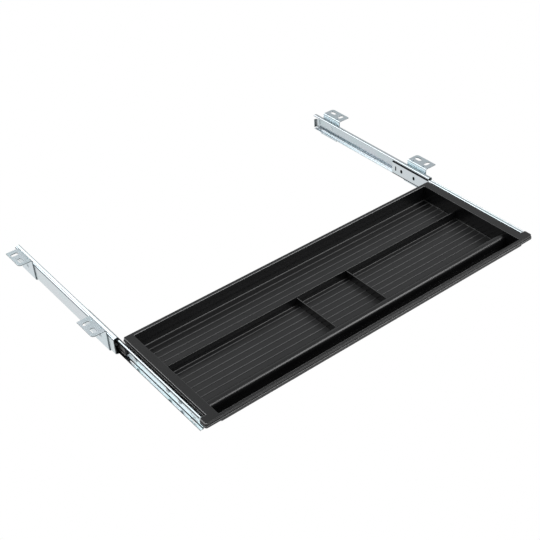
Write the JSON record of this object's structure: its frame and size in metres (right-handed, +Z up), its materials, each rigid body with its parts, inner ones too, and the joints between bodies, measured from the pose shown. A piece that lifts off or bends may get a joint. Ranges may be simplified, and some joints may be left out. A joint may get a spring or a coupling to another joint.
{
  "type": "under desk pencil drawer",
  "caption": "Shallow moulded drawer tray with divided compartments and a pencil trough, on ball-bearing slides hung from slotted L brackets under a desk.",
  "frame": {"origin": "in the plane of the desk's underside, midway between the two slides and level with the front ends of the fixed slide members", "axes": "+X along the desk to the right, +Y from the user towards the back of the desk, +Z up out of the brackets' flanges"},
  "size_m": [0.675, 0.521, 0.0389],
  "materials": {
    "black_tray": "satin black with a fine grain",
    "zinc_outer": "bright zinc plate",
    "zinc_inner": "bright zinc plate",
    "zinc_bracket": "bluish zinc plate",
    "zinc_hardware": "zinc plate",
    "steel_balls": "polished",
    "black_cage": "satin black",
    "black_lever": "satin black"
  },
  "bodies": {
    "desk_side": {"right_cabinet_member": "zinc_outer", "left_cabinet_member": "zinc_outer", "right_front_bracket": "zinc_bracket", "right_rear_bracket": "zinc_bracket", "left_front_bracket": "zinc_bracket", "left_rear_bracket": "zinc_bracket", "right_bracket_rivets": "zinc_hardware", "left_bracket_rivets": "zinc_hardware"},
    "drawer": {"tray": "black_tray", "right_drawer_member": "zinc_inner", "left_drawer_member": "zinc_inner", "right_lever_pin": "zinc_hardware", "left_lever_pin": "zinc_hardware", "right_tray_screws": "zinc_hardware", "left_tray_screws": "zinc_hardware"},
    "right_cage": {"right_ball_cage": "black_cage", "right_balls": "steel_balls"},
    "left_cage": {"left_ball_cage": "black_cage", "left_balls": "steel_balls"},
    "right_lever": {"right_release_lever": "black_lever"},
    "left_lever": {"left_release_lever": "black_lever"}
  },
  "joints": [
    {"name": "drawer_slide", "type": "slide", "parent": "desk_side", "child": "drawer", "axis": [0, 1, 0], "range_m": [0, 0.204]},
    {"name": "right_cage_slide", "type": "slide", "parent": "desk_side", "child": "right_cage", "axis": [0, 1, 0], "range_m": [0, 0.102]},
    {"name": "left_cage_slide", "type": "slide", "parent": "desk_side", "child": "left_cage", "axis": [0, 1, 0], "range_m": [0, 0.102]},
    {"name": "right_lever_pivot", "type": "hinge", "parent": "drawer", "child": "right_lever", "pos_m": [0.3066, 0.006, -0.0223], "axis": [1, 0, 0], "range_deg": [0, 6], "stiffness_Nm_per_rad": 0.05, "springref_deg": -11.46},
    {"name": "left_lever_pivot", "type": "hinge", "parent": "drawer", "child": "left_lever", "pos_m": [-0.3066, 0.006, -0.0223], "axis": [1, 0, 0], "range_deg": [-6, 0], "stiffness_Nm_per_rad": 0.05, "springref_deg": 11.46}
  ],
  "couplings": [
    {"joint": "right_cage_slide", "follows": "drawer_slide", "ratio": 0.5},
    {"joint": "left_cage_slide", "follows": "drawer_slide", "ratio": 0.5}
  ]
}
